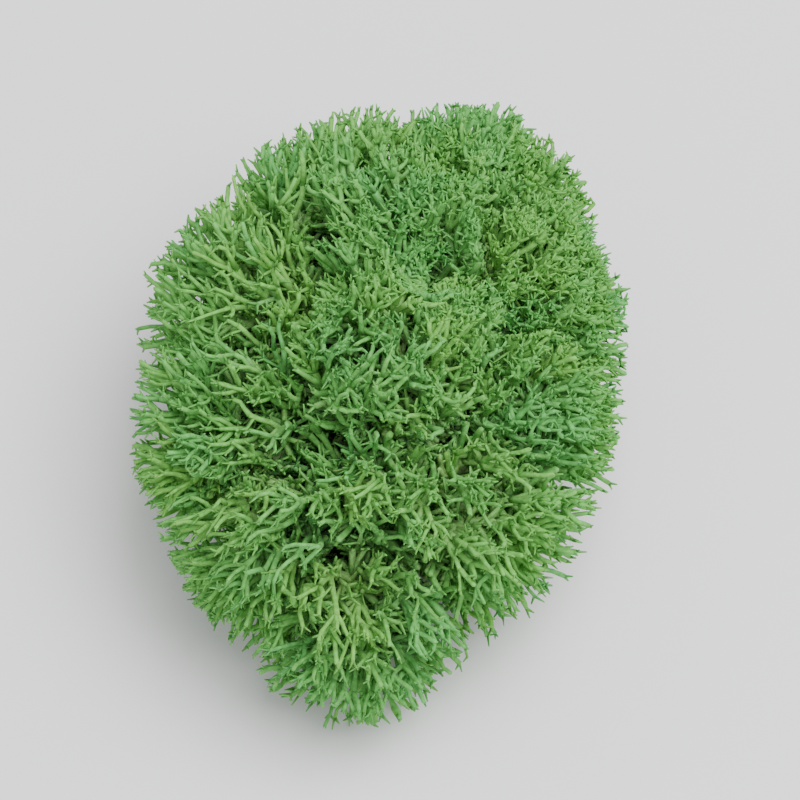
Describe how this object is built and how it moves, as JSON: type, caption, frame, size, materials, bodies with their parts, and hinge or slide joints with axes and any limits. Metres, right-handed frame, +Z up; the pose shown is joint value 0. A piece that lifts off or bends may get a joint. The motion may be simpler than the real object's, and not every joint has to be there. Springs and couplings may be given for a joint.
{
  "type": "reindeer moss clump",
  "caption": "Cushion of dyed green reindeer moss: rounded heads of finely forked branches, pressed side by side on short stems that stand flat.",
  "frame": {"origin": "on the ground, in the middle of the flat cut foot of the crown's stem", "axes": "+Z up, +Y to the back along the clump's longest side, +X to the right"},
  "size_m": [0.0535, 0.0688, 0.0434],
  "materials": {
    "dyed_lichen": "dyed and preserved lichen, matte and soft, bright green at the tips and paler grey-green on the inner stems"
  },
  "bodies": {
    "root": {"head_crown": "dyed_lichen", "head_crown_back": "dyed_lichen", "head_back_right": "dyed_lichen", "head_back_left": "dyed_lichen", "head_left_back": "dyed_lichen", "head_right_back": "dyed_lichen", "head_right": "dyed_lichen", "head_left": "dyed_lichen", "head_front_right": "dyed_lichen", "head_front_left": "dyed_lichen", "head_front": "dyed_lichen", "head_front_low": "dyed_lichen"}
  },
  "joints": []
}
